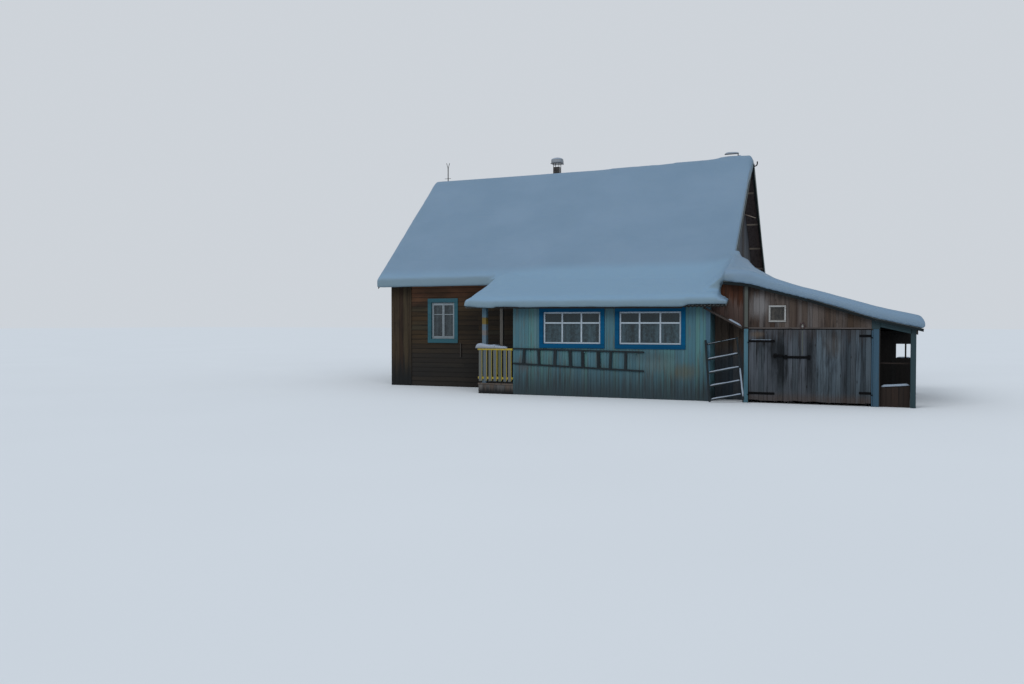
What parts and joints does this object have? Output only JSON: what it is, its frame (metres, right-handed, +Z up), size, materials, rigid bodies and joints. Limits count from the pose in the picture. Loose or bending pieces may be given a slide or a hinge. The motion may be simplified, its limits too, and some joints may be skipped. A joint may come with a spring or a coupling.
{
  "type": "log farmhouse",
  "caption": "Snow-covered village log house with a steep gable roof, a painted board veranda with a porch, and a lean-to board shed with a double gate.",
  "frame": {"origin": "on the ground, at the centre of the bounding box's bottom face", "axes": "+Z up, +X along the long front from the porch towards the shed, -Y is the veranda side"},
  "size_m": [15.82, 9.9, 7.834],
  "materials": {
    "logs": "dark brown logs and floor boards, weathered matt",
    "grey_boards": "unpainted boards, weathered grey",
    "teal_paint": "turquoise gloss paint on wood, worn",
    "white_paint": "white paint on wood",
    "glass": "window glass",
    "roof_sheets": "grey corrugated cement sheets",
    "snow": "fresh snow, matt white",
    "dark_iron": "dark oxidised iron",
    "turquoise_boards": "turquoise paint on boards, weathered and chalky",
    "dark_boards": "dark weathered wood",
    "blue_paint": "bright blue gloss paint on wood",
    "post_paint": "pale blue paint on posts, worn",
    "railing_paint": "yellow and white paint on slats",
    "red_boards": "bare red-brown boards, weathered"
  },
  "bodies": {
    "house": {"log_wall_front": "logs", "log_wall_back": "logs", "log_wall_left": "logs", "log_wall_right": "logs", "gable_boards_right": "grey_boards", "house_floor": "logs", "front_window_casing": "teal_paint", "front_window_sash": "white_paint", "front_window_glass": "glass", "back_window_left": "teal_paint", "back_window_right": "teal_paint", "side_window_front": "teal_paint", "side_window_back": "teal_paint", "main_roof_front": "roof_sheets", "main_roof_back": "roof_sheets", "snow_main_roof": "snow", "ridge_aerial": "dark_iron", "ridge_rod": "dark_iron", "verge_hook": "dark_iron", "chimney_stack": "dark_iron", "chimney_cap": "dark_iron", "snow_chimney_cap": "snow", "veranda_wall_front": "turquoise_boards", "veranda_wall_left": "turquoise_boards", "veranda_wall_right": "turquoise_boards", "veranda_floor": "logs", "porch_door": "turquoise_boards", "veranda_roof": "roof_sheets", "snow_veranda_roof": "snow", "wall_ladder": "dark_boards", "veranda_glass": "glass", "veranda_window_left_casing": "blue_paint", "veranda_window_left_sash": "white_paint", "veranda_window_right_casing": "blue_paint", "veranda_window_right_sash": "white_paint", "porch_floor": "grey_boards", "porch_post_front": "post_paint", "porch_post_back": "post_paint", "porch_beam": "grey_boards", "porch_railing_front": "railing_paint", "porch_railing_side": "railing_paint", "shed_post_left": "post_paint", "shed_post_right": "post_paint", "shed_front_boards": "grey_boards", "shed_window_frame": "white_paint", "shed_window_glass": "glass", "shed_wall_right": "grey_boards", "shed_wall_back": "grey_boards", "recess_walls": "dark_boards", "recess_pent": "dark_boards", "recess_boards": "red_boards", "bay_frame": "grey_boards", "leaning_ladder": "dark_boards", "shed_roof": "roof_sheets", "snow_shed_roof": "snow"},
    "left_leaf": {"gate_leaf_left": "grey_boards"},
    "right_leaf": {"gate_leaf_right": "grey_boards"}
  },
  "joints": [
    {"name": "gate_left", "type": "hinge", "parent": "house", "child": "left_leaf", "pos_m": [3.908, -4.57, 0.9], "axis": [0, 0, -1], "range_deg": [0, 90]},
    {"name": "gate_right", "type": "hinge", "parent": "house", "child": "right_leaf", "pos_m": [6.747, -4.57, 0.9], "axis": [0, 0, 1], "range_deg": [0, 90]}
  ]
}
